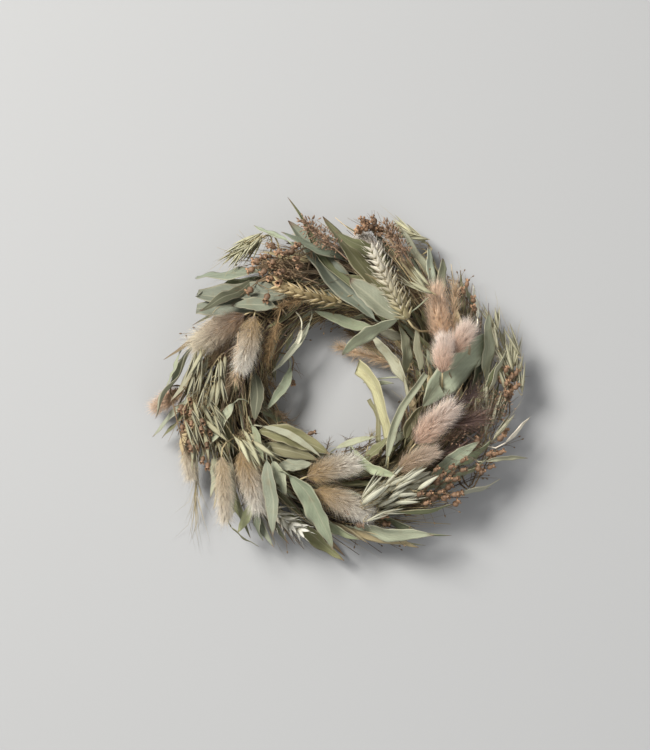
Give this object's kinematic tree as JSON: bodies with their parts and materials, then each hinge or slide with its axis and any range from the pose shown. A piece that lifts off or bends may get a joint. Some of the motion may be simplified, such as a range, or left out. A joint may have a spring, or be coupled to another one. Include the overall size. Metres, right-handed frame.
{
  "type": "dried plant wreath",
  "caption": "Small wreath of dried leaves, hare's-tail grass, oats, seed pods and ears of grain, wired in bunches to a ring of twisted vine.",
  "frame": {"origin": "on the surface that the wreath lies on, under the middle of its bounding box", "axes": "+Z out of the front of the wreath, +Y towards the top of the hanging wreath, +X to its right as seen from the front"},
  "size_m": [0.2686, 0.263, 0.0704],
  "materials": {
    "vine": "rough bark",
    "wire": "dull",
    "leaves": "matt, dry",
    "oats": "matt, dry",
    "pods": "satin",
    "tails": "fluffy",
    "ears": "matt, dry"
  },
  "bodies": {
    "root": {"binding_wire": "wire", "ear_golden": "ears", "ear_husk": "ears", "ear_white": "ears", "leaves_inner_01": "leaves", "leaves_inner_02": "leaves", "leaves_inner_03": "leaves", "leaves_inner_04": "leaves", "leaves_inner_05": "leaves", "leaves_inner_06": "leaves", "leaves_inner_07": "leaves", "leaves_inner_08": "leaves", "leaves_inner_09": "leaves", "leaves_inner_10": "leaves", "leaves_inner_11": "leaves", "leaves_inner_12": "leaves", "leaves_outer_01": "leaves", "leaves_outer_03": "leaves", "leaves_outer_04": "leaves", "leaves_outer_05": "leaves", "leaves_outer_06": "leaves", "leaves_outer_07": "leaves", "leaves_outer_08": "leaves", "leaves_outer_09": "leaves", "leaves_outer_10": "leaves", "leaves_outer_11": "leaves", "leaves_outer_12": "leaves", "oats_02": "oats", "oats_04": "oats", "oats_05": "oats", "oats_06": "oats", "oats_07": "oats", "oats_09": "oats", "oats_11": "oats", "oats_12": "oats", "pods_02": "pods", "pods_03": "pods", "pods_04": "pods", "pods_05": "pods", "pods_06": "pods", "pods_09": "pods", "pods_10": "pods", "pods_11": "pods", "pods_12": "pods", "tails_02": "tails", "tails_04": "tails", "tails_06": "tails", "tails_07": "tails", "tails_08": "tails", "tails_10": "tails", "tails_12": "tails", "vine_ring": "vine"}
  },
  "joints": []
}
